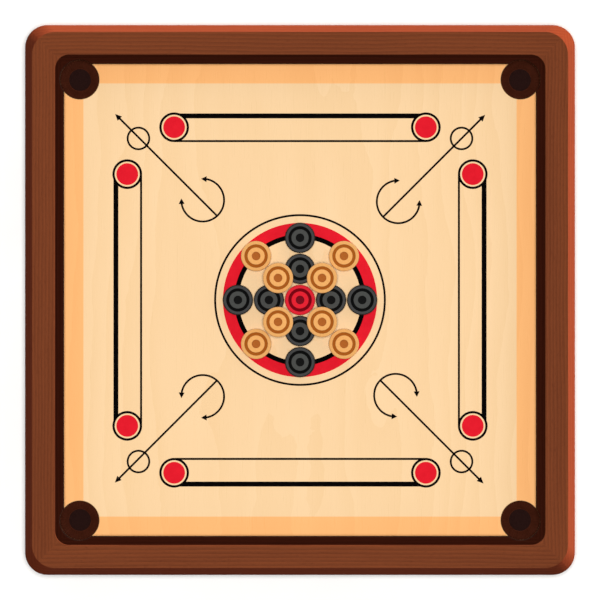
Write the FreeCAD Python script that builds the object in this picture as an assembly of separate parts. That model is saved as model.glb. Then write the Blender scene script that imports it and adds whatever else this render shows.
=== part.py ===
"""Carrom board for the table top, with its seventeen men set out for play.

Millimetres. +Z is up, +X is east and +Y is north. The origin is under the centre of the
board, on the surface that it lies on.
"""
import FreeCAD, Part
import math
import os

V = FreeCAD.Vector
UP = V(0, 0, 1)

# Carrom men
man_diameter = 30.8
man_thickness = 8.0
man_edge_radius = 1.15        # rounding of the outer edge
man_turning_depth = 0.7       # how deep the turned recesses go
man_recess_radius = 4.5       # recess in the middle of each face
man_groove_inner = 8.55       # turned groove, from this radius
man_groove_outer = 12.0       # to this one
man_turning_slope = 0.4       # run of the sloping sides of the turned recesses
man_gap = 0.86                # between the men set out in a row
lay_gap = 0.1                 # printed ink or polish powder under a man

# Frame
board_side = 560.0
rail_width = 30.6
outer_corner_radius = 22.7
bevel_width = 7.1             # sloping outer edge of the top, seen from above
bevel_drop = 7.1
bevel_corner_radius = 23.2
opening_corner_radius = 14.3
frame_foot_break = 1.0        # small bevel round the bottom of the frame
frame_inner_break = 0.6       # small bevel round the inner edge of the top
depth_under_panel = 20.5      # from the surface that the board lies on to the panel
groove_depth = 6.0            # how far the panel goes into the rails

# Corner splines, let into the mitres from outside
spline_thickness = 3.0
spline_depth = 22.0           # measured from the rounded corner, along the diagonal
spline_height = 9.0           # underside above the bottom of the frame

# Playing panel and cushion strips
panel_thickness = 6.0
panel_play = 0.5              # between the panel's edge and the bottom of the groove
stack_cover = 1.3             # how far two men on each other stay below the frame's top
strip_width = 9.0
strip_step = 1.2              # how far the strips stay below the frame's top
strip_break = 0.8

# Pockets
pocket_play = 9.0             # a pocket is this much wider than a man
pocket_cushion_gap = 0.4      # between the strip and a man centred over the pocket
pocket_break = 0.5
net_thickness = 1.2
net_rim_thickness = 1.0
net_rim_gap = 0.4             # between the net's rim and the rails
net_bottom_radius = 11.0      # inside
net_floor_gap = 1.5           # between the net and the surface that the board lies on

# Tacks that hold the nets
tacks_per_pocket = 5
tack_head_diameter = 3.0
tack_head_height = 0.8
tack_shank_diameter = 1.2
tack_bite = 3.5               # how far the shank goes into the panel

# Battens under the panel, and their screws
batten_width = 30.0
batten_thickness = 12.0
batten_break = 1.0
screw_head_diameter = 6.0
screw_head_depth = 1.8
screw_shank_diameter = 3.0
screw_bite = 4.0              # how far a screw goes into the panel
screw_slot_width = 0.8
screw_slot_depth = 0.9
screw_end_distance = 40.0     # from a batten's end to its outer screws
screw_inner_distance = 90.0   # from the board's centre to its inner screws

# Places worked out from the sizes above
man_radius = man_diameter / 2
board_half = board_side / 2
opening_half = board_half - rail_width
playing_half = opening_half - strip_width
panel_bottom = depth_under_panel
playing_surface = panel_bottom + panel_thickness
frame_top = playing_surface + 2 * (man_thickness + lay_gap) + stack_cover
strip_top = frame_top - strip_step
pocket_radius = (man_diameter + pocket_play) / 2
pocket_centre = playing_half - man_radius - pocket_cushion_gap
net_rim_radius = opening_half - pocket_centre - net_rim_gap
first_layer = playing_surface + lay_gap
second_layer = first_layer + man_thickness + lay_gap
inner_ring = man_diameter + man_gap
outer_ring = 2 * inner_ring

sides = ["east", "north", "west", "south"]
corners = ["ne", "nw", "sw", "se"]


def turned(shape, degrees):
    """A copy of the shape, turned about the board's centre."""
    copy = shape.copy()
    copy.rotate(V(0, 0, 0), UP, degrees)
    return copy


def rounded_square(half, radius, z):
    """Wire of a square with rounded corners round the board's centre."""
    flat = half - radius
    middle = flat + radius * math.sqrt(0.5)
    edges = []
    for quarter in range(4):
        side = Part.LineSegment(V(half, -flat, z), V(half, flat, z)).toShape()
        corner = Part.Arc(V(half, flat, z), V(middle, middle, z), V(flat, half, z)).toShape()
        edges.append(turned(side, 90 * quarter))
        edges.append(turned(corner, 90 * quarter))
    return Part.Wire(edges)


def stacked(levels):
    """Solid through the rounded squares given as (half, radius, z), from the bottom up."""
    layers = []
    for lower, upper in zip(levels, levels[1:]):
        bottom = rounded_square(*lower)
        if lower[:2] == upper[:2]:
            layers.append(Part.Face(bottom).extrude(V(0, 0, upper[2] - lower[2])))
        else:
            layers.append(Part.makeLoft([bottom, rounded_square(*upper)], True, True))
    return layers[0].fuse(layers[1:]) if len(layers) > 1 else layers[0]


def revolved(edges):
    """Solid of revolution about the Z axis, from the edges of a closed outline in XZ."""
    return Part.Face(Part.Wire(edges)).revolve(V(0, 0, 0), UP, 360)


def polyline(points):
    """Edges of a closed outline in XZ through (radius, height) points."""
    corners_3d = [V(radius, 0, height) for radius, height in points]
    pairs = zip(corners_3d, corners_3d[1:] + corners_3d[:1])
    return [Part.LineSegment(start, end).toShape() for start, end in pairs]


def east_wedge():
    """The quarter of the board between its diagonals, on the east side."""
    reach = board_side
    bottom = Part.makePolygon([V(0, 0, -1), V(reach, -reach, -1), V(reach, reach, -1), V(0, 0, -1)])
    return Part.Face(bottom).extrude(V(0, 0, frame_top + 2))


def pocket_places():
    """Centres of the four pockets, in the order of the corners' names."""
    reach = pocket_centre * math.sqrt(2)
    angles = [math.radians(45 + 90 * quarter) for quarter in range(4)]
    return [V(reach * math.cos(angle), reach * math.sin(angle), 0) for angle in angles]


def frame_outside():
    """Outer body of the frame, with its sloping top edge and rounded corners."""
    foot = frame_foot_break
    return stacked([
        (board_half - foot, outer_corner_radius - foot, 0),
        (board_half, outer_corner_radius, foot),
        (board_half, outer_corner_radius, frame_top - bevel_drop),
        (board_half - bevel_width, bevel_corner_radius, frame_top)])


def frame_opening():
    """What is cut out of the frame: the opening, and the groove for the panel."""
    edge = frame_inner_break
    radius = opening_corner_radius
    opening = stacked([
        (opening_half, radius, -1),
        (opening_half, radius, frame_top - edge),
        (opening_half + edge, radius + edge, frame_top),
        (opening_half + edge, radius + edge, frame_top + 1)])
    groove = stacked([
        (opening_half + groove_depth, radius + groove_depth, panel_bottom),
        (opening_half + groove_depth, radius + groove_depth, playing_surface)])
    return opening.fuse(groove)


def north_east_spline():
    """Thin board let into the north-east mitre from outside, flush with the frame."""
    flat = board_half - outer_corner_radius
    corner_distance = flat * math.sqrt(2) + outer_corner_radius
    half_base = spline_depth + outer_corner_radius
    slab = Part.makeBox(board_side, 2 * half_base, spline_thickness,
                        V(corner_distance - spline_depth, -half_base, spline_height))
    return turned(slab, 45).common(frame_outside())


def east_rail():
    """Mitred rail of the frame, grooved for the panel and slotted for its two splines."""
    rail = frame_outside().cut(frame_opening()).common(east_wedge())
    spline = north_east_spline()
    return rail.cut([spline, turned(spline, -90)])


def pocket_cylinders(bottom, height):
    """Four cylinders of the pockets' size."""
    return [Part.makeCylinder(pocket_radius, height, place + V(0, 0, bottom))
            for place in pocket_places()]


def east_strip():
    """Cushion strip on the panel, hollowed round the pockets at both ends."""
    height = strip_top - playing_surface
    outside = stacked([
        (opening_half, opening_corner_radius, playing_surface),
        (opening_half, opening_corner_radius, strip_top)])
    inside = Part.makeBox(2 * playing_half, 2 * playing_half, height,
                          V(-playing_half, -playing_half, playing_surface))
    reach = playing_half - pocket_centre
    corner = Part.makeBox(reach, reach, height, V(pocket_centre, pocket_centre, playing_surface))
    inside = inside.cut([turned(corner, 90 * quarter) for quarter in range(4)])
    holes = pocket_cylinders(playing_surface, height)
    strip = outside.cut([inside] + holes).common(east_wedge()).Solids[0]
    return strip.makeChamfer(strip_break, [edge for edge in strip.Edges if is_cushion_edge(edge)])


def is_cushion_edge(edge):
    """Whether an edge of the east strip runs along the top of its cushion face or hollows."""
    middle = edge.valueAt((edge.FirstParameter + edge.LastParameter) / 2)
    at_top = all(abs(vertex.Z - strip_top) < 0.01 for vertex in edge.Vertexes)
    on_face = abs(middle.x - playing_half) < 0.01
    distances = [math.hypot(middle.x - place.x, middle.y - place.y) for place in pocket_places()]
    on_hollow = abs(min(distances) - pocket_radius) < 0.01
    return at_top and (on_face or on_hollow)


def playing_panel():
    """Plywood panel with its four pockets, and pilot holes for tacks and screws."""
    half = opening_half + groove_depth - panel_play
    radius = opening_corner_radius + groove_depth - panel_play
    panel = stacked([(half, radius, panel_bottom), (half, radius, playing_surface)])
    cuts = pocket_cylinders(panel_bottom, panel_thickness)
    for place in pocket_places():
        cone = Part.makeCone(pocket_radius, pocket_radius + pocket_break, pocket_break)
        cone.translate(V(place.x, place.y, playing_surface - pocket_break))
        cuts.append(cone)
    for place in tack_places():
        cuts.append(Part.makeCylinder(tack_shank_diameter / 2, tack_bite,
                                      place + V(0, 0, panel_bottom)))
    for place in screw_places():
        cuts.append(Part.makeCylinder(screw_shank_diameter / 2, screw_bite,
                                      place + V(0, 0, panel_bottom)))
    return panel.cut(cuts)


def tack_places():
    """Where the tacks go, evenly round each pocket from the one nearest the corner."""
    radius = pocket_radius + net_thickness + tack_head_diameter / 2
    places = []
    for centre in pocket_places():
        outwards = math.atan2(centre.y, centre.x)
        for number in range(tacks_per_pocket):
            angle = outwards + 2 * math.pi * number / tacks_per_pocket
            places.append(centre + V(radius * math.cos(angle), radius * math.sin(angle), 0))
    return places


def screw_places():
    """Where the battens are screwed to the panel."""
    outer = opening_half - screw_end_distance
    along = [-outer, -screw_inner_distance, screw_inner_distance, outer]
    return [V(place, 0, 0) for place in along] + [V(0, place, 0) for place in along]


def pocket_net(centre):
    """Outer shape of a knitted net: a flat rim under the panel and a tapering bag, closed below."""
    outer = pocket_radius + net_thickness
    outline = polyline([
        (0, net_floor_gap),
        (net_bottom_radius + net_thickness, net_floor_gap),
        (outer, panel_bottom - net_rim_thickness),
        (net_rim_radius, panel_bottom - net_rim_thickness),
        (net_rim_radius, panel_bottom),
        (pocket_radius, panel_bottom),
        (net_bottom_radius, net_floor_gap + net_thickness),
        (0, net_floor_gap + net_thickness)])
    net = revolved(outline)
    net.translate(centre)
    shanks = [Part.makeCylinder(tack_shank_diameter / 2, panel_bottom, place)
              for place in tack_places()]
    return net.cut(shanks)


def net_tacks():
    """Round-headed steel tacks that hold the rims of the nets."""
    head_radius = tack_head_diameter / 2
    shank_radius = tack_shank_diameter / 2
    under = panel_bottom - net_rim_thickness
    crown = Part.Arc(V(0, 0, under - tack_head_height),
                     V(head_radius * 0.7, 0, under - tack_head_height * 0.7),
                     V(head_radius, 0, under)).toShape()
    top = panel_bottom + tack_bite
    rest = [V(head_radius, 0, under), V(shank_radius, 0, under),
            V(shank_radius, 0, top - shank_radius), V(0, 0, top),
            V(0, 0, under - tack_head_height)]
    lines = [Part.LineSegment(start, end).toShape() for start, end in zip(rest, rest[1:])]
    tack = revolved([crown] + lines)
    tacks = []
    for place in tack_places():
        copy = tack.copy()
        copy.translate(place)
        tacks.append(copy)
    return Part.makeCompound(tacks)


def screw_shape(slot):
    """Countersunk screw standing head down, or without a slot the hole that it fits."""
    bottom = panel_bottom - batten_thickness
    tip = panel_bottom + screw_bite
    shank_radius = screw_shank_diameter / 2
    outline = [
        (0, bottom),
        (screw_head_diameter / 2, bottom),
        (shank_radius, bottom + screw_head_depth),
        (shank_radius, tip - shank_radius if slot else tip),
        (0, tip)]
    screw = revolved(polyline(outline))
    if slot:
        cutter = Part.makeBox(screw_head_diameter, screw_slot_width, screw_slot_depth,
                              V(-screw_head_diameter / 2, -screw_slot_width / 2, bottom))
        screw = screw.cut(cutter)
    return screw


def batten_screws():
    """The eight countersunk screws, their slots turned as the screwdriver left them."""
    screws = []
    for number, place in enumerate(screw_places()):
        screw = turned(screw_shape(True), 37 * number)
        screw.translate(place)
        screws.append(screw)
    return Part.makeCompound(screws)


def batten(degrees):
    """Batten under the panel from rail to rail, halved where it crosses the other one."""
    bottom = panel_bottom - batten_thickness
    bar = Part.makeBox(2 * opening_half, batten_width, batten_thickness,
                       V(-opening_half, -batten_width / 2, bottom))
    long_edges = [edge for edge in bar.Edges
                  if edge.Length > batten_width + 1 and edge.Vertexes[0].Z < bottom + 1]
    bar = bar.makeChamfer(batten_break, long_edges)
    lap_bottom = bottom if degrees else bottom + batten_thickness / 2
    lap = Part.makeBox(batten_width, batten_width + 2, batten_thickness / 2,
                       V(-batten_width / 2, -batten_width / 2 - 1, lap_bottom))
    bar = turned(bar.cut(lap), degrees)
    holes = []
    for place in screw_places():
        hole = screw_shape(False)
        hole.translate(place)
        holes.append(hole)
    return bar.cut(holes)


def carrom_man(x, y, bottom):
    """Turned wooden disc, the same on both faces."""
    deep = man_turning_depth
    slope = man_turning_slope
    top = man_thickness
    flat = man_radius - man_edge_radius
    face = [
        (0, deep),
        (man_recess_radius - slope, deep),
        (man_recess_radius, 0),
        (man_groove_inner, 0),
        (man_groove_inner + slope, deep),
        (man_groove_outer - slope, deep),
        (man_groove_outer, 0),
        (flat, 0)]
    lower = [V(radius, 0, height) for radius, height in face]
    upper = [V(radius, 0, top - height) for radius, height in reversed(face)]
    inset = man_edge_radius * (1 - math.sqrt(0.5))
    edges = [Part.LineSegment(start, end).toShape() for start, end in zip(lower, lower[1:])]
    edges.append(Part.Arc(V(flat, 0, 0), V(man_radius - inset, 0, inset),
                          V(man_radius, 0, man_edge_radius)).toShape())
    edges.append(Part.LineSegment(V(man_radius, 0, man_edge_radius),
                                  V(man_radius, 0, top - man_edge_radius)).toShape())
    edges.append(Part.Arc(V(man_radius, 0, top - man_edge_radius),
                          V(man_radius - inset, 0, top - inset), V(flat, 0, top)).toShape())
    edges += [Part.LineSegment(start, end).toShape() for start, end in zip(upper, upper[1:])]
    edges.append(Part.LineSegment(upper[-1], lower[0]).toShape())
    man = revolved(edges)
    man.translate(V(x, y, bottom))
    return man


def set_out_men():
    """The queen in the centre, and the black and the tan men round it, by node name."""
    men = {"queen": carrom_man(0, 0, first_layer)}
    for number in range(4):
        black_angle = math.radians(90 * number)
        tan_angle = math.radians(90 * number + 45)
        for row, ring in (("inner", inner_ring), ("outer", outer_ring)):
            tan_bottom = second_layer if row == "inner" else first_layer
            men["black_man_" + row + "_" + sides[number]] = carrom_man(
                ring * math.cos(black_angle), ring * math.sin(black_angle), first_layer)
            men["tan_man_" + row + "_" + corners[number]] = carrom_man(
                ring * math.cos(tan_angle), ring * math.sin(tan_angle), tan_bottom)
    return men


def all_parts():
    """Every sub-part by node name."""
    parts = {
        "playing_panel": playing_panel(),
        "batten_east_west": batten(0),
        "batten_north_south": batten(90),
        "batten_screws": batten_screws(),
        "net_tacks": net_tacks()}
    rail = east_rail()
    strip = east_strip()
    spline = north_east_spline()
    for number in range(4):
        parts["frame_rail_" + sides[number]] = turned(rail, 90 * number)
        parts["cushion_strip_" + sides[number]] = turned(strip, 90 * number)
        parts["corner_spline_" + corners[number]] = turned(spline, 90 * number)
        parts["pocket_net_" + corners[number]] = pocket_net(pocket_places()[number])
    parts.update(set_out_men())
    return parts


os.makedirs("parts", exist_ok=True)
for name, shape in all_parts().items():
    shape.exportStep("parts/" + name + ".step")
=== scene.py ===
import math
import random

import bmesh
import bpy
import numpy as np
from mathutils import Matrix, Vector


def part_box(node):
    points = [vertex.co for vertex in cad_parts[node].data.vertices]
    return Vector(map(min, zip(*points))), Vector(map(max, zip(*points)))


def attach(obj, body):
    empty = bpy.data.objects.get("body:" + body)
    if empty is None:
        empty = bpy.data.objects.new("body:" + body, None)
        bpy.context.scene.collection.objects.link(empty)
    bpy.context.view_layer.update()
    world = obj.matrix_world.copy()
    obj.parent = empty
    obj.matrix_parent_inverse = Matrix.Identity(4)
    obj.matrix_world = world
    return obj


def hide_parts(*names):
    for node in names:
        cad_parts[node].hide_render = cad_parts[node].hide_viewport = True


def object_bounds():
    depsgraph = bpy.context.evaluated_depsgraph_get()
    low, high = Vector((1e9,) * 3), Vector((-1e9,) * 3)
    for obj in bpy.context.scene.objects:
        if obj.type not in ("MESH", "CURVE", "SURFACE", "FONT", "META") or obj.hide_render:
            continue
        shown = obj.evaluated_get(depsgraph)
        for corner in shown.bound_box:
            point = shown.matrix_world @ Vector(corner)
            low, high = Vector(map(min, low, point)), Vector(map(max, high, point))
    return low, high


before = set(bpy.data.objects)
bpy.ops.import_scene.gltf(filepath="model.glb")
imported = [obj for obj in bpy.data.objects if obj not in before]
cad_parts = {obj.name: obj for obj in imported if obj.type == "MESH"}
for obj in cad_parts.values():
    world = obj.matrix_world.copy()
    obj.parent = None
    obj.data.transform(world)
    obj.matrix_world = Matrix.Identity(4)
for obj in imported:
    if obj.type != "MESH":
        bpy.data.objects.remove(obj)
cad_low, cad_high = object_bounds()

# ----------------------------------------------------------------------------------------
# Camera. It looks straight down on the board's centre from far away, through a long lens,
# so the board is seen as on a plan and its outer sides stay hidden.

board_side = cad_high.x - cad_low.x
view_width = 1.0908 * board_side      # the board, with a narrow margin of floor round it
lens = 800.0
sensor_width = 36.0

camera_data = bpy.data.cameras.new("plan_camera")
camera_data.lens = lens
camera_data.sensor_width = sensor_width
camera_data.clip_end = 100.0
camera = bpy.data.objects.new("plan_camera", camera_data)
camera.location = (0, 0, cad_high.z + view_width * lens / sensor_width)
bpy.context.scene.collection.objects.link(camera)
bpy.context.scene.camera = camera
bpy.context.scene.view_settings.view_transform = "Standard"

# ----------------------------------------------------------------------------------------
# Studio. A matt white table top lit by a soft lamp overhead. A broad low glow round the
# horizon, brightest in the north-east, fills the sides and is what the lacquer reflects.

MM = 0.001
table_drop = 0.2 * MM                 # the table's top lies this far under the frame
table_half = 8.0
mottle_size = 110 * MM                # faint cloudy patches that the paint roller left
glow_north_east = 1.0
glow_south_west = 0.12


def linear(code):
    """Linear red, green, blue and alpha of an sRGB hex colour."""
    channels = [int(code[place:place + 2], 16) / 255 for place in (0, 2, 4)]
    return [c / 12.92 if c <= 0.04045 else ((c + 0.055) / 1.055) ** 2.4 for c in channels] + [1.0]


def add_node(tree, kind, inputs=None, stops=None, **settings):
    """Adds a shader node. inputs gives sockets their values, or the outputs that feed them,
    and stops gives a colour ramp its places and colours."""
    node = tree.nodes.new("ShaderNode" + kind)
    for name, value in settings.items():
        setattr(node, name, value)
    for socket, value in (inputs or {}).items():
        if isinstance(value, bpy.types.NodeSocket):
            tree.links.new(value, node.inputs[socket])
        else:
            node.inputs[socket].default_value = value
    if stops:
        ramp = node.color_ramp.elements
        ramp[0].position, ramp[0].color = stops[0]
        ramp[1].position, ramp[1].color = stops[-1]
        for place, colour in stops[1:-1]:
            ramp.new(place).color = colour
    return node


def new_material(name):
    """An empty node material, and its node tree."""
    material = bpy.data.materials.new(name)
    material.use_nodes = True
    material.node_tree.nodes.clear()
    return material, material.node_tree


def new_piece(name, mesh, material):
    """An object for a finished mesh, with its material."""
    piece = bpy.data.objects.new(name, mesh)
    mesh.materials.append(material)
    bpy.context.scene.collection.objects.link(piece)
    return piece


def table_paint():
    """Matt white paint on a studio table: no gloss, and a faint mottle so it isn't dead flat."""
    material, tree = new_material("matt_white_table_paint")
    mottle = add_node(tree, "TexNoise", {"Vector": add_node(tree, "TexCoord").outputs["Object"],
                                         "Scale": 1 / mottle_size, "Detail": 3.0})
    tone = add_node(tree, "ValToRGB", {"Fac": mottle.outputs["Fac"]},
                    stops=[(0.3, linear("F4F3F1")), (0.7, linear("F8F7F5"))])
    paint = add_node(tree, "BsdfPrincipled", {"Base Color": tone.outputs["Color"],
                                              "Roughness": 0.9, "Specular IOR Level": 0.1})
    add_node(tree, "OutputMaterial", {"Surface": paint.outputs["BSDF"]})
    return material


table_mesh = bpy.data.meshes.new("studio_table")
table_corners = [(x * table_half, y * table_half, -table_drop)
                 for x, y in ((-1, -1), (1, -1), (1, 1), (-1, 1))]
table_mesh.from_pydata(table_corners, [], [(0, 1, 2, 3)])
table = new_piece("studio_table", table_mesh, table_paint())
table.visible_glossy = False          # so the satin lacquers don't mirror it as a haze

glow = bpy.data.worlds.new("studio_glow")
glow.use_nodes = True
glow.node_tree.nodes.clear()
bpy.context.scene.world = glow
sky_place = add_node(glow.node_tree, "TexCoord").outputs["Generated"]
sky_height = add_node(glow.node_tree, "SeparateXYZ", {"Vector": sky_place})
sky_tone = add_node(glow.node_tree, "ValToRGB", {"Fac": sky_height.outputs["Z"]}, stops=[
    (0.0, (1, 1, 1, 1)), (0.45, (1, 1, 1, 1)),
    (0.72, (0.12, 0.12, 0.12, 1)), (1.0, (0.02, 0.02, 0.02, 1))])
north_east = add_node(glow.node_tree, "VectorMath", {0: sky_place, 1: (0.707, 0.707, 0)},
                      operation="DOT_PRODUCT")
sky_side = add_node(glow.node_tree, "MapRange", {
    "Value": north_east.outputs["Value"], "From Min": -0.6, "From Max": 0.6,
    "To Min": glow_south_west, "To Max": glow_north_east}, interpolation_type="SMOOTHSTEP")
sky = add_node(glow.node_tree, "Background", {"Color": sky_tone.outputs["Color"],
                                              "Strength": sky_side.outputs["Result"]})
add_node(glow.node_tree, "OutputWorld", {"Surface": sky.outputs["Background"]})


def add_lamp(name, energy, colour, spread, direction):
    """A distant lamp that shines from a direction, with its apparent width in degrees."""
    lamp_data = bpy.data.lights.new(name, "SUN")
    lamp_data.energy = energy
    lamp_data.color = colour
    lamp_data.angle = math.radians(spread)
    lamp = bpy.data.objects.new(name, lamp_data)
    lamp.rotation_mode = "QUATERNION"
    lamp.rotation_quaternion = Vector(direction).to_track_quat("Z", "Y")
    bpy.context.scene.collection.objects.link(lamp)
    return lamp


overhead_lamp = add_lamp("overhead_lamp", energy=3.2, colour=(1.0, 1.0, 1.0), spread=18,
                         direction=(0, 0, 1))
overhead_lamp.visible_glossy = False

# A low strong lamp to the north-east grazes the frame only, and models its sloping edges.
grazing_height = math.radians(11)
grazing_lamp = add_lamp("grazing_lamp", energy=22.3, colour=(1.0, 0.92, 0.8), spread=6,
                        direction=(math.cos(grazing_height), math.cos(grazing_height),
                                   math.sin(grazing_height) * math.sqrt(2)))
grazing_lamp.visible_glossy = False
grazed = bpy.data.collections.new("grazed_by_the_low_lamp")
grazing_lamp.light_linking.receiver_collection = grazed

# ----------------------------------------------------------------------------------------
# Frame rails. Four lengths of sheesham, a red-brown Indian rosewood, bevelled, mitred and
# glued at the corners, then stained and sprayed with satin lacquer. The sloping edges and
# the inner edge are painted darker as painted shade. Each is sawn from another plank, so
# its figure is its own and runs along the rail.

SIDES = ("east", "north", "west", "south")
CORNERS = ("ne", "nw", "sw", "se")
ROOT = "board"
fibre_stretch = 33                    # how many times longer than wide a fibre is
bend_length, bend_width = 250 * MM, 70 * MM        # how slowly the growth rings wander
bend_reach = 3.2                      # and how far at most, in gaps between the rings
wave_period = 0.314                   # the wave texture's own, at a scale of 1
streak_length, streak_width = 330 * MM, 22 * MM    # broad streaks of darker wood
pore_length, pore_width = 5.0 * MM, 0.35 * MM      # twice the real width, so that they show


def grain_noise(tree, grain, length, width, detail, roughness=0.5):
    """Noise whose patches are about so long along the grain and so wide across it."""
    drawn_out = add_node(tree, "Mapping", {"Vector": grain,
                                           "Scale": (1 / length, 1 / width, 1 / width)})
    return add_node(tree, "TexNoise", {"Vector": drawn_out.outputs["Vector"], "Scale": 1.0,
                                       "Detail": detail, "Roughness": roughness})


def wood_figure(tree, along, centre, pith, ring_gap, fibre_width=0.9 * MM, pores=0.0):
    """Two outputs for wood: its figure, from pale to dark, and the relief of its fibres.

    The grain runs along the X or the Y axis, the growth rings lie ring_gap apart round a
    pith at the given offset from the piece's centre, across the grain and up. Pores, the
    short dark dashes of open-grained wood, show as strongly as the last value says.
    """
    turn = -math.pi / 2 if along == "Y" else 0.0
    middle = Matrix.Rotation(turn, 3, "Z") @ Vector(centre)
    grain = add_node(tree, "Mapping", {
        "Vector": add_node(tree, "TexCoord").outputs["Object"], "Rotation": (0, 0, turn),
        "Location": (-middle.x, -middle.y - pith[0], -middle.z - pith[1])}).outputs["Vector"]
    bend = grain_noise(tree, grain, bend_length, bend_width, 2.0)
    bent = add_node(tree, "VectorMath", {0: bend.outputs["Color"],
                                         1: (bend_reach * ring_gap,) * 3, 2: grain},
                    operation="MULTIPLY_ADD")
    rings = add_node(tree, "TexWave", {"Vector": bent.outputs["Vector"],
                                       "Scale": wave_period / ring_gap, "Distortion": 0.6,
                                       "Detail": 2.0, "Detail Scale": 2.0},
                     wave_type="RINGS", rings_direction="X", wave_profile="SAW")
    fibres = grain_noise(tree, grain, fibre_stretch * fibre_width, fibre_width, 3.0, 0.6)
    streaks = grain_noise(tree, grain, streak_length, streak_width, 2.0)
    open_grain = grain_noise(tree, grain, pore_length, pore_width, 1.0)
    dashes = add_node(tree, "MapRange", {"Value": open_grain.outputs["Fac"],
                                         "From Min": 0.6, "From Max": 0.72, "To Max": pores})
    figure = dashes.outputs["Result"]
    for pattern, share in ((rings, 0.3), (fibres, 0.35), (streaks, 0.35)):
        figure = add_node(tree, "Math", {0: pattern.outputs["Fac"], 1: share, 2: figure},
                          operation="MULTIPLY_ADD").outputs[0]
    relief = add_node(tree, "Math", {0: fibres.outputs["Fac"], 1: dashes.outputs["Result"]},
                      operation="SUBTRACT")
    return figure, relief.outputs[0]


def wood_finish(tree, colour, fibres, roughness, relief, specular=0.5, tint="FFFFFF"):
    """Finishes a wood material: its colour and the relief of its fibres, under a varnish
    that may tint what it reflects."""
    sheen = add_node(tree, "MapRange", {"Value": fibres, "From Min": 0.3, "From Max": 0.7,
                                        "To Min": roughness - 0.05, "To Max": roughness + 0.07})
    bump = add_node(tree, "Bump", {"Height": fibres, "Strength": 0.5, "Distance": relief})
    surface = add_node(tree, "BsdfPrincipled", {
        "Base Color": colour, "Roughness": sheen.outputs["Result"],
        "Normal": bump.outputs["Normal"], "Specular IOR Level": specular,
        "Specular Tint": linear(tint)})
    add_node(tree, "OutputMaterial", {"Surface": surface.outputs["BSDF"]})


bevel_shade_cover = 0.35                    # how much of the wood's own colour the painted bevel shade hides
edge_shade_cover = 0.65               # and the painted shade along the inner edge, as dark as the cushions
bevel_foot = cad_high.z - 7.1 * MM    # the painted bevel shade fades from this height down to the next
bevel_shade_bottom = 14 * MM
edge_facing = 60 * MM                 # sorts the outer faces and the inner ones from the top


def stained_sheesham(side, pith):
    """Red-brown stained rosewood: fine darker streaks, and a soft satin light on them. A redder,
    darker painted shade lies on the sloping edges and fades out down the sides, and a dark
    painted shade lies along the inner edge."""
    material, tree = new_material("stained_sheesham_" + side)
    low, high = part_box("frame_rail_" + side)
    along = "Y" if side in ("east", "west") else "X"
    figure, fibres = wood_figure(tree, along, (low + high) / 2, pith, ring_gap=3.2 * MM,
                                 pores=0.3)
    colour = add_node(tree, "ValToRGB", {"Fac": figure}, stops=[
        (0.25, linear("572C18")), (0.5, linear("4D2716")), (0.75, linear("411F11"))])
    colour = colour.outputs["Color"]
    place = add_node(tree, "TexCoord").outputs
    outwards = add_node(tree, "VectorMath", {0: place["Normal"], 1: place["Object"]},
                        operation="DOT_PRODUCT")
    height = add_node(tree, "SeparateXYZ", {"Vector": place["Object"]}).outputs["Z"]
    bevel_shade_fade = add_node(tree, "MapRange", {"Value": height, "To Max": bevel_shade_cover,
                                        "From Min": bevel_shade_bottom, "From Max": bevel_foot})
    # Painted shade: redder and darker on the outward sloping edges, fading down the sides, and
    # dark along the inner edge.
    for shade_code, cover, facing in (("5C1000", bevel_shade_fade.outputs["Result"], edge_facing),
                                 ("2D0E05", edge_shade_cover, -edge_facing)):
        shade_share = add_node(tree, "MapRange", {"Value": outwards.outputs["Value"], "To Max": cover,
                                           "From Min": facing, "From Max": 2 * facing})
        colour = add_node(tree, "Mix", {0: shade_share.outputs["Result"], 6: colour, 7: linear(shade_code)},
                          data_type="RGBA").outputs[2]
    wood_finish(tree, colour, fibres, roughness=0.42, relief=0.03 * MM, specular=0.2,
                tint="FFB48C")
    return material


def refinish(node, material):
    """Gives a CAD node its material."""
    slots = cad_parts[node].data.materials
    slots.clear()
    slots.append(material)


piths = {"east": (60 * MM, 52 * MM), "north": (-48 * MM, 64 * MM),
         "west": (-66 * MM, 45 * MM), "south": (52 * MM, 70 * MM)}
for side in SIDES:
    refinish("frame_rail_" + side, stained_sheesham(side, piths[side]))
    grazed.objects.link(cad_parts["frame_rail_" + side])

# ----------------------------------------------------------------------------------------
# Corner splines. Thin boards of pale maple glued into saw cuts across the mitres and
# trimmed flush, under the same satin lacquer. They lock the corners.


def lacquered_maple():
    """Pale close-grained wood: hardly any figure, warm from its lacquer."""
    material, tree = new_material("lacquered_maple")
    figure, fibres = wood_figure(tree, "X", (0, 0, 0), (90 * MM, 40 * MM), ring_gap=2.2 * MM)
    colour = add_node(tree, "ValToRGB", {"Fac": figure},
                      stops=[(0.3, linear("C79A6A")), (0.7, linear("AD7E50"))])
    wood_finish(tree, colour.outputs["Color"], fibres, roughness=0.4, relief=0.01 * MM,
                specular=0.4)
    return material


maple = lacquered_maple()
for corner in CORNERS:
    refinish("corner_spline_" + corner, maple)

# ----------------------------------------------------------------------------------------
# Cushion strips. The men rebound from these four strips of hard, heavy wood, stained
# nearly black-brown, glued on the panel against the rails and hollowed round the pockets.


def dark_stained_rosewood(side):
    """Almost black-brown wood: the figure only just shows, in a close satin finish."""
    material, tree = new_material("dark_stained_rosewood_" + side)
    low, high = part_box("cushion_strip_" + side)
    along = "Y" if side in ("east", "west") else "X"
    figure, fibres = wood_figure(tree, along, (low + high) / 2, (30 * MM, 40 * MM),
                                 ring_gap=2.4 * MM, pores=0.25)
    colour = add_node(tree, "ValToRGB", {"Fac": figure}, stops=[
        (0.25, linear("331208")), (0.5, linear("2D0E05")), (0.75, linear("230903"))])
    wood_finish(tree, colour.outputs["Color"], fibres, roughness=0.45, relief=0.02 * MM,
                specular=0.15)
    return material


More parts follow.
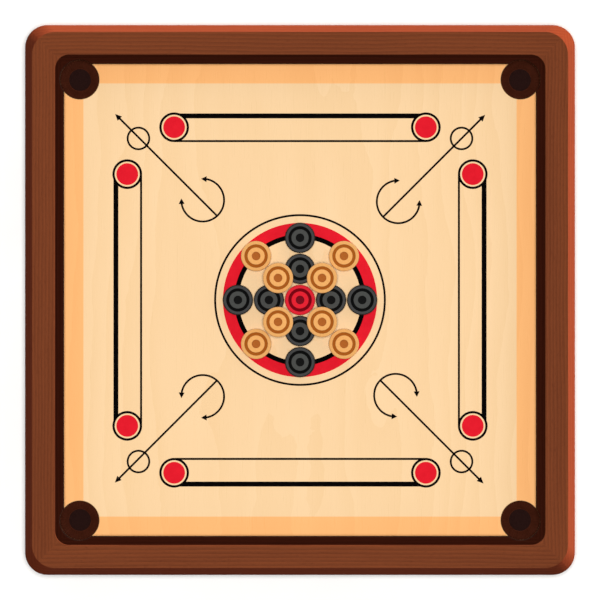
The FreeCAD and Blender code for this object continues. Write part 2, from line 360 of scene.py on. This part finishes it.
for side in SIDES:
    refinish("cushion_strip_" + side, dark_stained_rosewood(side))

# ----------------------------------------------------------------------------------------
# Playing panel. Birch plywood in the rails' grooves, its face veneer sanded fine, printed,
# sealed and polished until the men glide on it. The plies show round the pockets' edges,
# and its underside is bare.

playing_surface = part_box("playing_panel")[1].z
ply_thickness = 1.0 * MM
veneer = {"centre": (0, 0, 0), "pith": (40 * MM, 420 * MM), "ring_gap": 9 * MM}
polish = {"roughness": 0.3, "relief": 0.004 * MM, "specular": 0.45}


def polished_birch():
    """Polished birch ply: a smooth straw-coloured face with a faint broad figure, light
    and dark plies on the pockets' edges, which are sealed brown, and bare birch beneath."""
    material, tree = new_material("polished_birch_ply")
    figure, fibres = wood_figure(tree, "Y", **veneer)
    face = add_node(tree, "ValToRGB", {"Fac": figure},
                    stops=[(0.25, linear("EDCA9D")), (0.75, linear("E8C393"))])
    bare = add_node(tree, "ValToRGB", {"Fac": figure},
                    stops=[(0.25, linear("DDBE92")), (0.75, linear("CFAD7E"))])
    coords = add_node(tree, "TexCoord").outputs
    place = add_node(tree, "SeparateXYZ", {"Vector": coords["Object"]})
    facing = add_node(tree, "SeparateXYZ", {"Vector": coords["Normal"]})
    ply = add_node(tree, "Math", {0: place.outputs["Z"], 1: 2 * ply_thickness},
                   operation="PINGPONG")
    edge = add_node(tree, "ValToRGB", {"Fac": add_node(
        tree, "Math", {0: ply.outputs[0], 1: 2 * ply_thickness},
        operation="DIVIDE").outputs[0]},
        stops=[(0.42, linear("6E4526")), (0.58, linear("A67C4E"))])
    below = add_node(tree, "Math", {0: place.outputs["Z"], 1: playing_surface - 0.1 * MM},
                     operation="LESS_THAN")
    beneath = add_node(tree, "Math", {0: facing.outputs["Z"], 1: -0.5}, operation="LESS_THAN")
    colour = face.outputs["Color"]
    for where, finish in ((below, edge), (beneath, bare)):
        colour = add_node(tree, "Mix", {0: where.outputs[0], 6: colour,
                                        7: finish.outputs["Color"]}, data_type="RGBA").outputs[2]
    wood_finish(tree, colour, fibres, **polish)
    return material


refinish("playing_panel", polished_birch())

# ----------------------------------------------------------------------------------------
# Border. A painted shadow of the frame: an amber band printed on the veneer along all four
# cushions, before the lacquer, and the grain shows through it. It stops at the pockets' edges.

ink_thickness = 0.05 * MM
border_width = 19.6 * MM
pocket_radius = 20.4 * MM             # with the small bevel round its edge
net_low, net_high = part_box("pocket_net_ne")
pocket_centre = (net_low.x + net_high.x) / 2
man_radius = (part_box("queen")[1].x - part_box("queen")[0].x) / 2
pocket_cushion_gap = 0.4 * MM         # from a man over a pocket to the line of the faces
playing_half = pocket_centre + man_radius + pocket_cushion_gap


def add_print(mesh, outline, thickness=ink_thickness):
    """Adds one printed patch to a bmesh: a thin closed slab on the panel, seen from above
    as the outline, which is a list of (x, y) points in order."""
    lower = [mesh.verts.new((x, y, playing_surface)) for x, y in outline]
    upper = [mesh.verts.new((x, y, playing_surface + thickness)) for x, y in outline]
    count = len(outline)
    mesh.faces.new(upper)
    mesh.faces.new(lower[::-1])
    for index in range(count):
        following = (index + 1) % count
        mesh.faces.new((lower[index], lower[following], upper[following], upper[index]))


def arc_points(centre, radius, start, end, count):
    """Points along an arc, with its angles in degrees."""
    angles = [math.radians(start + (end - start) * step / count) for step in range(count + 1)]
    return [(centre[0] + radius * math.cos(a), centre[1] + radius * math.sin(a)) for a in angles]


def turned_points(points, quarter):
    """The points turned about the board's centre by a number of quarter turns."""
    turn = Matrix.Rotation(quarter * math.pi / 2, 2)
    return [tuple(turn @ Vector(point)) for point in points]


def finished_print(name, mesh, material):
    """Makes the printed patches of a bmesh into a piece that rides on the board."""
    bmesh.ops.recalc_face_normals(mesh, faces=mesh.faces)
    data = bpy.data.meshes.new(name)
    mesh.to_mesh(data)
    mesh.free()
    piece = new_piece(name, data, material)
    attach(piece, ROOT)
    return piece


def border_outline():
    """The east side's band of painted frame shadow, hollowed at both ends round the pockets."""
    inner = playing_half - border_width
    at_inner = math.degrees(math.acos((inner - pocket_centre) / pocket_radius))
    at_outer = math.degrees(math.acos((playing_half - pocket_centre) / pocket_radius))
    north = arc_points((pocket_centre, pocket_centre), pocket_radius, -at_outer, -at_inner, 24)
    south = [(x, -y) for x, y in reversed(north)]
    return north + south


def frame_shadow_paint():
    """Painted shadow of the frame in the birch veneer: amber, deeper and warmer than the bare
    wood, same grain.
    """
    material, tree = new_material("painted_frame_shadow_on_birch")
    figure, fibres = wood_figure(tree, "Y", **veneer)
    # The amber colours are the painted shadow of the frame along the cushions.
    colour = add_node(tree, "ValToRGB", {"Fac": figure},
                      stops=[(0.25, linear("F4B474")), (0.75, linear("EFAD6D"))])
    wood_finish(tree, colour.outputs["Color"], fibres, **polish)
    return material


border = bmesh.new()
for quarter in range(4):
    add_print(border, turned_points(border_outline(), quarter))
finished_print("painted_frame_shadow_band", border, frame_shadow_paint())

# ----------------------------------------------------------------------------------------
# Printed lines. Black screen-print ink under the lacquer: on each side a base line, thick
# outside and thin inside, between two ringed spots; an arrow to each pocket with its aim
# circle and turning arc; and the thin ring and the black band of the centre circle.

base_distance = 176.1 * MM            # from the board's centre to the spots' centres
base_reach = 128.3 * MM               # from the middle of a side's lines to a spot
spot_ring_outer = 15.15 * MM
spot_ring_inner = 12.75 * MM
thick_line_width = 5.0 * MM
thick_line_inset = 1.1 * MM           # inside the spot ring's outermost point
thin_line_width = 2.1 * MM

# Each corner's arrow and arc are printed with a stencil laid by eye, and lie a little off
# their places to the east and north. These go round from the north-east corner.
arrow_slips = ((0, 0), (0.3 * MM, 0.9 * MM), (-1.3 * MM, 1.3 * MM), (0, 0))
arrow_tips = (267.0 * MM, 267.0 * MM, 265.2 * MM, 264.6 * MM)
turn_slips = ((0.9 * MM, 0.9 * MM), (0, 2.6 * MM), (0, 0.9 * MM), (-1.8 * MM, 2.1 * MM))
arrow_width = 2.0 * MM
arrow_head_length = 6.8 * MM
arrow_head_width = 6.2 * MM
aim_distance = 232.9 * MM
aim_radius = 11.0 * MM
aim_width = 2.0 * MM
aim_thickness = 1.5 * ink_thickness   # the circle is printed over the arrow's line
turn_distance = 140.3 * MM
turn_radius = 21.8 * MM
turn_width = 2.0 * MM
turn_head_length = 5.7 * MM
turn_head_width = 6.0 * MM
turn_gap = 81.0                       # degrees between the tips of a turning arc

centre_ring_radius = 86.5 * MM
centre_ring_width = 2.1 * MM
centre_black_inner = 62.3 * MM
centre_black_outer = 67.1 * MM
centre_red_outer = 78.6 * MM
ink_cloud_size = 6.0 * MM             # patches where the squeegee laid the ink thicker


def add_ring(mesh, centre, inner, outer, start=0.0, end=360.0, thickness=ink_thickness):
    """Prints a ring, or the part of it between two angles in degrees."""
    pieces = 4
    step = (end - start) / pieces
    for number in range(pieces):
        first, last = start + number * step, start + (number + 1) * step
        count = max(6, round(abs(step) / 3))
        outline = arc_points(centre, outer, first, last, count)
        outline += arc_points(centre, inner, last, first, count)
        add_print(mesh, outline, thickness)


def base_line(near, far):
    """One line of the east side's base lines, from spot to spot. It lies between two
    distances from the line of the spots, outwards positive, and fits their rings."""
    spot = (base_distance, base_reach)
    reach = [min(max(edge, -spot_ring_outer), spot_ring_outer) for edge in (near, far)]
    first, last = [-math.degrees(math.acos(edge / spot_ring_outer)) for edge in reach]
    curve = arc_points(spot, spot_ring_outer, first, last, 8)
    curve[0] = (base_distance + near, curve[0][1])
    curve[-1] = (base_distance + far, curve[-1][1])
    return curve + [(x, -y) for x, y in reversed(curve)]


def arrow_head(tip, back, width):
    """Triangle with its tip at one point and the middle of its base at another."""
    tip, back = Vector(tip), Vector(back)
    aside = (tip - back).orthogonal().normalized() * width / 2
    return [tuple(tip), tuple(back + aside), tuple(back - aside)]


def bar(start, end, width):
    """Outline of a straight line of ink."""
    start, end = Vector(start), Vector(end)
    aside = (end - start).orthogonal().normalized() * width / 2
    return [tuple(start + aside), tuple(start - aside), tuple(end - aside), tuple(end + aside)]


def on_diagonal(distance):
    """Point towards the north-east pocket at a distance from the board's centre."""
    return Vector((distance, distance)) * math.sqrt(0.5)


def add_slipped(mesh, outline, quarter, slip):
    """Prints a patch that is drawn for the north-east corner at another one, with a slip."""
    add_print(mesh, [(x + slip[0], y + slip[1]) for x, y in turned_points(outline, quarter)])


def add_arrow(mesh, quarter):
    """One corner's arrow from its turning arc to the pocket, and the aim circle that it
    passes through."""
    outwards = Vector(turned_points([on_diagonal(1.0)], quarter)[0])
    arc_slip = outwards.dot(Vector(turn_slips[quarter]) - Vector(arrow_slips[quarter]))
    start = on_diagonal(turn_distance - turn_radius + turn_width / 2 + arc_slip)
    tip = on_diagonal(arrow_tips[quarter])
    head_base = on_diagonal(arrow_tips[quarter] - arrow_head_length)
    for outline in (arrow_head(tip, head_base, arrow_head_width),
                    bar(start, head_base, arrow_width)):
        add_slipped(mesh, outline, quarter, arrow_slips[quarter])
    centre = turned_points([on_diagonal(aim_distance)], quarter)[0]
    add_ring(mesh, centre, aim_radius - aim_width / 2, aim_radius + aim_width / 2,
             thickness=aim_thickness)


def add_turning_arc(mesh, quarter):
    """One corner's turning arc, with an arrow head at each end."""
    slip = turn_slips[quarter]
    turn_centre = on_diagonal(turn_distance)
    head_sweep = math.degrees(turn_head_length / turn_radius)
    first_tip, last_tip = 45 + turn_gap / 2, 405 - turn_gap / 2
    for tip_angle, base_angle in ((first_tip, first_tip + head_sweep),
                                  (last_tip, last_tip - head_sweep)):
        tip, back = arc_points(turn_centre, turn_radius, tip_angle, base_angle, 1)
        add_slipped(mesh, arrow_head(tip, back, turn_head_width), quarter, slip)
    centre = Vector(turned_points([turn_centre], quarter)[0]) + Vector(slip)
    add_ring(mesh, centre, turn_radius - turn_width / 2, turn_radius + turn_width / 2,
             first_tip + head_sweep + 90 * quarter, last_tip - head_sweep + 90 * quarter)


def screen_ink(name, code, deep):
    """Screen-print ink under polish: an even, slightly cloudy film with a soft gloss."""
    material, tree = new_material(name)
    cloud = add_node(tree, "TexNoise", {"Vector": add_node(tree, "TexCoord").outputs["Object"],
                                        "Scale": 1 / ink_cloud_size, "Detail": 4.0})
    tone = add_node(tree, "ValToRGB", {"Fac": cloud.outputs["Fac"]},
                    stops=[(0.3, linear(code)), (0.75, linear(deep))])
    film = add_node(tree, "Bump", {"Height": cloud.outputs["Fac"], "Strength": 0.3,
                                   "Distance": 0.01 * MM})
    ink = add_node(tree, "BsdfPrincipled", {
        "Base Color": tone.outputs["Color"], "Roughness": 0.4, "Specular IOR Level": 0.2,
        "Normal": film.outputs["Normal"]})
    add_node(tree, "OutputMaterial", {"Surface": ink.outputs["BSDF"]})
    return material


black_print = bmesh.new()
thick_far = spot_ring_outer - thick_line_inset
for quarter in range(4):
    for near, far in ((thick_far - thick_line_width, thick_far),
                      (-spot_ring_outer, -spot_ring_outer + thin_line_width)):
        add_print(black_print, turned_points(base_line(near, far), quarter))
    for side in (-1, 1):
        spot = turned_points([(base_distance, side * base_reach)], quarter)[0]
        add_ring(black_print, spot, spot_ring_inner, spot_ring_outer)
    add_arrow(black_print, quarter)
    add_turning_arc(black_print, quarter)
add_ring(black_print, (0, 0), centre_ring_radius - centre_ring_width / 2,
         centre_ring_radius + centre_ring_width / 2)
add_ring(black_print, (0, 0), centre_black_inner, centre_black_outer)
finished_print("black_lines", black_print, screen_ink("black_screen_ink", "050303", "030202"))

# ----------------------------------------------------------------------------------------
# Printed red. The spots at the ends of the base lines and the broad ring of the centre
# circle, in red screen-print ink.

spot_radius = 11.1 * MM

red_print = bmesh.new()
for quarter in range(4):
    for side in (-1, 1):
        spot = turned_points([(base_distance, side * base_reach)], quarter)[0]
        add_print(red_print, arc_points(spot, spot_radius, 0, 360 * 63 / 64, 63))
add_ring(red_print, (0, 0), centre_black_outer, centre_red_outer)
finished_print("red_spots_and_ring", red_print, screen_ink("red_screen_ink", "D81B2A", "CF1726"))

# ----------------------------------------------------------------------------------------
# Battens. Two planed pine laths under the panel, halved where they cross, that keep it
# from sagging. They are left bare.


def planed_pine(along):
    """Bare planed softwood: strong yellow and brown growth rings and no gloss."""
    material, tree = new_material("planed_pine_" + along.lower())
    figure, fibres = wood_figure(tree, along, (0, 0, 14 * MM), (35 * MM, 25 * MM),
                                 ring_gap=3.6 * MM)
    colour = add_node(tree, "ValToRGB", {"Fac": figure}, stops=[
        (0.3, linear("DDB988")), (0.6, linear("CFA36C")), (0.75, linear("B07F4A"))])
    wood_finish(tree, colour.outputs["Color"], fibres, roughness=0.75, relief=0.05 * MM,
                specular=0.3)
    return material


refinish("batten_east_west", planed_pine("X"))
refinish("batten_north_south", planed_pine("Y"))

# ----------------------------------------------------------------------------------------
# Screws and tacks. Countersunk steel screws, zinc plated, hold the battens, and small
# blued round-headed tacks hold the nets' rims.

tumble_mark = 1.1 * MM                # size of the marks that plating in a barrel leaves


def plated_steel(name, bright, dull, roughness):
    """Plated steel: a metal skin with fine cloudy marks from tumbling in the barrel."""
    material, tree = new_material(name)
    marks = add_node(tree, "TexNoise", {"Vector": add_node(tree, "TexCoord").outputs["Object"],
                                        "Scale": 1 / tumble_mark, "Detail": 4.0})
    tone = add_node(tree, "ValToRGB", {"Fac": marks.outputs["Fac"]},
                    stops=[(0.35, linear(bright)), (0.7, linear(dull))])
    rough = add_node(tree, "MapRange", {"Value": marks.outputs["Fac"],
                                        "To Min": roughness - 0.08, "To Max": roughness + 0.12})
    metal = add_node(tree, "BsdfPrincipled", {
        "Base Color": tone.outputs["Color"], "Metallic": 1.0,
        "Roughness": rough.outputs["Result"]})
    add_node(tree, "OutputMaterial", {"Surface": metal.outputs["BSDF"]})
    return material


refinish("batten_screws", plated_steel("zinc_plated_steel", "C8C4B8", "A6A294", 0.32))
refinish("net_tacks", plated_steel("blued_steel", "3E434C", "2B2E35", 0.38))

# ----------------------------------------------------------------------------------------
# Pocket nets. Each is a bag knitted in the round from dark brown cotton cord and backed with
# cotton cloth. Its rim lies flat under the panel, held by tacks, and its walls taper to the
# bottom, where a round of felt takes the men's fall; its near-black is painted shade for the
# pocket's depth.

stitches_round = 38
row_gap = 1.75 * MM
cord_radius = 0.52 * MM
points_per_stitch = 10
loop_height = 0.78 * row_gap          # half the height of a loop
loop_sway = 0.19                      # how far a loop leans over its foot, in stitches
loop_crossing = 0.55 * cord_radius    # how far the cord passes in front of itself
cord_sides = 6
cloth_half = 0.2 * MM                 # half the thickness of the cloth between the loops
felt_radius = 11.2 * MM
felt_thickness = 1.0 * MM
felt_ease = 0.3 * MM                  # how far the felt's edges are worn round
cotton_hair = 0.4 * MM                # coarser than the real hairs, so that they show
felt_nap = 0.7 * MM                   # coarser than the real nap too
dye_patch = 7.0 * MM                  # size of the patches that took the dye unevenly

rim_outer = 23.4 * MM
rim_inner = 20.9 * MM
mouth_radius = 20.35 * MM
bottom_radius = 11.9 * MM
rim_height = net_high.z - 0.8 * MM    # of the middle of the cord, as the next two are
mouth_height = rim_height - 0.7 * MM
bottom_height = net_low.z + 1.0 * MM
net_profile = [Vector((rim_outer, rim_height)), Vector((rim_inner, rim_height)),
               Vector((mouth_radius, mouth_height)), Vector((bottom_radius, bottom_height))]
net_turn = 23                         # degrees from one net to the next, so none are alike
cloth_segments = 72
felt_segments = 64


def along_profile(distance):
    """Point of the net's section at a distance from its rim, and the outward normal."""
    for start, end in zip(net_profile, net_profile[1:]):
        length = (end - start).length
        if distance <= length or end is net_profile[-1]:
            direction = (end - start) / length
            return start + direction * distance, Vector((-direction.y, direction.x))
        distance -= length


def knitted_row(row_start):
    """Vertices and faces of one row of loops: a closed tube of cord round the bag."""
    count = stitches_round * points_per_stitch
    line, outwards = [], []
    for index in range(count):
        phase = 2 * math.pi * index / points_per_stitch
        sway = loop_sway * math.sin(2 * phase)
        angle = 2 * math.pi * (index / points_per_stitch + sway) / stitches_round
        point, normal = along_profile(row_start + loop_height * (1 - math.cos(phase)))
        point = point + normal * (loop_crossing * math.cos(2 * phase))
        around = (math.cos(angle), math.sin(angle))
        line.append((point.x * around[0], point.x * around[1], point.y))
        outwards.append((normal.x * around[0], normal.x * around[1], normal.y))
    line, outwards = np.array(line), np.array(outwards)
    forward = np.roll(line, -1, 0) - np.roll(line, 1, 0)
    forward /= np.linalg.norm(forward, axis=1)[:, None]
    aside = np.cross(forward, outwards)
    aside /= np.linalg.norm(aside, axis=1)[:, None]
    up = np.cross(aside, forward)
    turns = 2 * np.pi * np.arange(cord_sides) / cord_sides
    rings = line[:, None, :] + cord_radius * (
        np.cos(turns)[None, :, None] * up[:, None, :]
        + np.sin(turns)[None, :, None] * aside[:, None, :])
    faces = []
    for index in range(count):
        following = (index + 1) % count
        for side in range(cord_sides):
            beside = (side + 1) % cord_sides
            faces.append((index * cord_sides + side, following * cord_sides + side,
                          following * cord_sides + beside, index * cord_sides + beside))
    return rings.reshape(-1, 3), faces


def knitted_bag():
    """Mesh of a whole net about its own axis, row by row."""
    length = sum((end - start).length for start, end in zip(net_profile, net_profile[1:]))
    rows = int(length / row_gap)
    vertices, faces = [], []
    for row in range(rows):
        points, quads = knitted_row(row * row_gap)
        faces += [[corner + len(vertices) for corner in quad] for quad in quads]
        vertices += points.tolist()
    mesh = bpy.data.meshes.new("knitted_net")
    mesh.from_pydata(vertices, [], faces)
    mesh.shade_smooth()
    return mesh


def lathed(name, section, segments):
    """Closed mesh turned about the Z axis from (radius, height) points, which start and end
    on the axis."""
    vertices, faces = [(0, 0, section[0][1])], []
    for radius, height in section[1:-1]:
        for step in range(segments):
            angle = 2 * math.pi * step / segments
            vertices.append((radius * math.cos(angle), radius * math.sin(angle), height))
    vertices.append((0, 0, section[-1][1]))
    rings = len(section) - 2
    last = len(vertices) - 1
    for step in range(segments):
        following = (step + 1) % segments
        faces.append((0, 1 + following, 1 + step))
        for ring in range(rings - 1):
            near, far = 1 + ring * segments, 1 + (ring + 1) * segments
            faces.append((near + step, near + following, far + following, far + step))
        end = 1 + (rings - 1) * segments
        faces.append((end + step, end + following, last))
    mesh = bpy.data.meshes.new(name)
    mesh.from_pydata(vertices, [], faces)
    mesh.shade_smooth()
    return mesh


def brown_cotton():
    """Dark brown cotton cord: matt and slightly hairy, paler where the loops catch light."""
    material, tree = new_material("brown_cotton_cord")
    place = add_node(tree, "TexCoord").outputs["Object"]
    hair = add_node(tree, "TexNoise", {"Vector": place, "Scale": 1 / cotton_hair, "Detail": 3.0})
    dye = add_node(tree, "TexNoise", {"Vector": place, "Scale": 1 / dye_patch, "Detail": 2.0})
    both = add_node(tree, "Math", {0: hair.outputs["Fac"], 1: dye.outputs["Fac"]}, operation="ADD")
    tone = add_node(tree, "ValToRGB", {"Fac": add_node(
        tree, "Math", {0: both.outputs[0], 1: 0.5}, operation="MULTIPLY").outputs[0]},
        stops=[(0.3, linear("592A1B")), (0.7, linear("461F12"))])
    nap = add_node(tree, "Bump", {"Height": hair.outputs["Fac"], "Strength": 0.6,
                                  "Distance": 0.08 * MM})
    cotton = add_node(tree, "BsdfPrincipled", {
        "Base Color": tone.outputs["Color"], "Roughness": 0.9, "Specular IOR Level": 0.1,
        "Normal": nap.outputs["Normal"]})
    add_node(tree, "OutputMaterial", {"Surface": cotton.outputs["BSDF"]})
    return material


def pocket_shade_felt():
    """Pressed wool felt, near-black as painted shade for the pocket's depth: no gloss, a fine nap
    and a few paler hairs.
    """
    material, tree = new_material("painted_shade_black_felt")
    place = add_node(tree, "TexCoord").outputs["Object"]
    hair = add_node(tree, "TexNoise", {"Vector": place, "Scale": 1 / felt_nap, "Detail": 5.0})
    tone = add_node(tree, "ValToRGB", {"Fac": hair.outputs["Fac"]},
                    # Painted shade: the felt's near-black stands for the shade at the bottom of
                    # the pocket.
                    stops=[(0.35, linear("1C0E0C")), (0.75, linear("2E1A17"))])
    nap = add_node(tree, "Bump", {"Height": hair.outputs["Fac"], "Strength": 0.8,
                                  "Distance": 0.15 * MM})
    felt = add_node(tree, "BsdfPrincipled", {
        "Base Color": tone.outputs["Color"], "Roughness": 0.95, "Specular IOR Level": 0.1,
        "Normal": nap.outputs["Normal"]})
    add_node(tree, "OutputMaterial", {"Surface": felt.outputs["BSDF"]})
    return material


cotton, felt = brown_cotton(), pocket_shade_felt()
wall = [(point.x, point.y) for point in reversed(net_profile)]
floor_top = bottom_height - 0.2 * MM  # of the cloth across the bottom of the bag
floor_low = floor_top - 2 * cloth_half
cloth_section = ([(0, floor_low), (bottom_radius - 0.5 * MM, floor_low)]
                 + [(radius + cloth_half, height - cloth_half) for radius, height in wall]
                 + [(radius - cloth_half, height + cloth_half) for radius, height in wall[::-1]]
                 + [(bottom_radius - 0.7 * MM, floor_top), (0, floor_top)])
felt_low = floor_top + 0.01 * MM
felt_top = felt_low + felt_thickness
felt_section = [(0, felt_low), (felt_radius - felt_ease, felt_low),
                (felt_radius, felt_low + felt_ease), (felt_radius, felt_top - felt_ease),
                (felt_radius - 0.4 * MM, felt_top), (0, felt_top + 0.1 * MM)]
for number, corner in enumerate(CORNERS):
    low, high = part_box("pocket_net_" + corner)
    place = Matrix.Translation(((low.x + high.x) / 2, (low.y + high.y) / 2, 0))
    turn = Matrix.Rotation(math.radians(net_turn * number), 4, "Z")
    net = new_piece("knitted_net_" + corner, knitted_bag(), cotton)
    cloth = new_piece("net_cloth_" + corner,
                      lathed("net_cloth", cloth_section, cloth_segments), cotton)
    base = new_piece("shade_felt_round_" + corner,
                     lathed("shade_felt_round", felt_section, felt_segments), felt)
    for piece in (net, cloth, base):
        piece.matrix_world = place @ turn
        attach(piece, ROOT)
    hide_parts("pocket_net_" + corner)

# ----------------------------------------------------------------------------------------
# Men. Seventeen discs turned from close-grained wood, with the same recess and groove in
# both faces, eased edges, and a sprayed finish: clear on the tan ones, black, or red on the
# queen. The turned hollows, and the rounded edges of the black and red men, are painted
# darker as painted shade.

man_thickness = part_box("queen")[1].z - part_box("queen")[0].z
edge_radius = 1.15 * MM
recess_radius = 4.5 * MM
groove_inner = 8.55 * MM
groove_outer = 12.0 * MM
turning_depth = 0.7 * MM
turning_slope = 0.4 * MM
turning_soft = 0.16 * MM              # rounding of the turned corners
corner_steps = 3                      # facets across each of them
man_segments = 112
tool_feed = 0.3 * MM                  # between the fine rings that the lathe tool leaves
knock_size = 2.4 * MM                 # size of the places where the men knock together


def softened(points, radius):
    """The points with each corner between them rounded to a small radius."""
    result = [points[0]]
    for before, corner, after in zip(points, points[1:], points[2:]):
        before, corner, after = Vector(before), Vector(corner), Vector(after)
        inward, outward = (before - corner).normalized(), (after - corner).normalized()
        half_angle = inward.angle(outward) / 2
        cut = radius / math.tan(half_angle)
        centre = corner + (inward + outward).normalized() * radius / math.sin(half_angle)
        first, last = corner + inward * cut - centre, corner + outward * cut - centre
        sweep = first.angle_signed(last)
        for step in range(corner_steps + 1):
            turn = Matrix.Rotation(-sweep * step / corner_steps, 2)
            result.append(tuple(centre + turn @ first))
        result.append(tuple(corner + outward * (cut + radius)))
    result.append(points[-1])
    return result


def man_section():
    """Half section of a man, from the middle of its underside to the middle of its top."""
    half = man_thickness / 2
    hollow = half - turning_depth
    face = [(0, hollow), (recess_radius - turning_slope, hollow), (recess_radius, half),
            (groove_inner, half), (groove_inner + turning_slope, hollow),
            (groove_outer - turning_slope, hollow), (groove_outer, half),
            (man_radius - edge_radius, half)]
    face = softened(face, turning_soft)
    centre = (man_radius - edge_radius, half - edge_radius)
    edge = arc_points(centre, edge_radius, 90, 0, 7)
    top = face[:-1] + edge
    return [(radius, -height) for radius, height in top] + top[::-1]


def turned_wood(name, zones, worn, roughness, specular, grain_depth):
    """Turned and sprayed wood: the raised ring and rim in the clear colours, the turned
    hollows painted darker as painted shade, faint grain across the disc, the fine rings that
    the lathe tool left, and patches along the edge where play has rubbed the finish. zones
    holds the colours of the middle, the ring, the groove, the rim and the rounded edge; the
    middle, the groove and a darker rounded edge are painted shade."""
    material, tree = new_material(name)
    figure, fibres = wood_figure(tree, "X", (0, 0, 0), (30 * MM, 45 * MM),
                                 ring_gap=1.9 * MM, fibre_width=0.5 * MM)
    place = add_node(tree, "TexCoord").outputs["Object"]
    flat = add_node(tree, "VectorMath", {0: place, 1: (1, 1, 0)}, operation="MULTIPLY")
    radius = add_node(tree, "VectorMath", {0: flat.outputs["Vector"]}, operation="LENGTH")
    share = add_node(tree, "Math", {0: radius.outputs["Value"], 1: man_radius}, operation="DIVIDE")
    half_slope = turning_slope / 2
    starts = (0.0, recess_radius - half_slope, groove_inner + half_slope,
              groove_outer - half_slope, man_radius - edge_radius)
    stops = [(start / man_radius, linear(code)) for start, code in zip(starts, zones)]
    tone = add_node(tree, "ValToRGB", {"Fac": share.outputs[0]})
    tone.color_ramp.interpolation = "CONSTANT"
    elements = tone.color_ramp.elements
    elements[0].position, elements[0].color = stops[0]
    elements[1].position, elements[1].color = stops[1]
    for stop, colour in stops[2:]:
        elements.new(stop).color = colour
    shade = add_node(tree, "MapRange", {"Value": figure, "From Min": 0.25, "From Max": 0.75,
                                        "To Min": 1 + grain_depth, "To Max": 1 - grain_depth})
    grained = add_node(tree, "VectorMath", {0: tone.outputs["Color"], 3: shade.outputs["Result"]},
                       operation="SCALE")
    knocks = add_node(tree, "TexNoise", {"Vector": place, "Scale": 1 / knock_size, "Detail": 4.0})
    at_edge = add_node(tree, "MapRange", {"Value": share.outputs[0], "To Max": 0.2,
                                          "From Min": 0.93, "From Max": 0.99})
    rubbed = add_node(tree, "Math", {0: knocks.outputs["Fac"], 1: at_edge.outputs["Result"]},
                      operation="ADD")
    wear = add_node(tree, "MapRange", {"Value": rubbed.outputs[0], "From Min": 0.74,
                                       "From Max": 0.86, "To Max": 0.5})
    colour = add_node(tree, "Mix", {0: wear.outputs["Result"], 6: grained.outputs["Vector"],
                                    7: linear(worn)}, data_type="RGBA")
    tool_rings = add_node(tree, "Math", {0: add_node(
        tree, "Math", {0: radius.outputs["Value"], 1: 2 * math.pi / tool_feed},
        operation="MULTIPLY").outputs[0]}, operation="SINE")
    surface = add_node(tree, "Math", {0: tool_rings.outputs[0], 1: 0.12, 2: fibres},
                       operation="MULTIPLY_ADD")
    wood_finish(tree, colour.outputs[2], surface.outputs[0], roughness,
                relief=0.02 * MM, specular=specular)
    return material


# Painted shade: the hollows' colours (first and third), and the darker rounded edge (last) on the
# black and red men.
clear_wood = turned_wood("clear_lacquered_boxwood",
                         ("A35A24", "E1A35F", "9A5218", "DBA05D", "DAA162"),
                         worn="C58A4C", roughness=0.4, specular=0.3, grain_depth=0.06)
black_wood = turned_wood("black_lacquered_wood",
                         ("121212", "444543", "0B0B0B", "3F3F3F", "252322"),
                         worn="5B4A3C", roughness=0.4, specular=0.18, grain_depth=0.06)
red_wood = turned_wood("red_lacquered_wood",
                       ("6F0D19", "D5202F", "6E0410", "D02231", "C4202B"),
                       worn="C8433F", roughness=0.38, specular=0.2, grain_depth=0.04)

random.seed(17)
for node in sorted(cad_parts):
    if node == "queen":
        finish, slot = red_wood, "queen_wood"
    elif node.startswith("tan_man"):
        finish, slot = clear_wood, "tan_wood"
    elif node.startswith("black_man"):
        finish, slot = black_wood, "black_wood"
    else:
        continue
    low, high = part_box(node)
    man = new_piece("turned_" + node, lathed("turned_man", man_section(), man_segments), finish)
    turn = Matrix.Rotation(random.uniform(0, 2 * math.pi), 4, "Z")
    man.matrix_world = Matrix.Translation((low + high) / 2) @ turn
    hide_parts(node)
    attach(man, node)
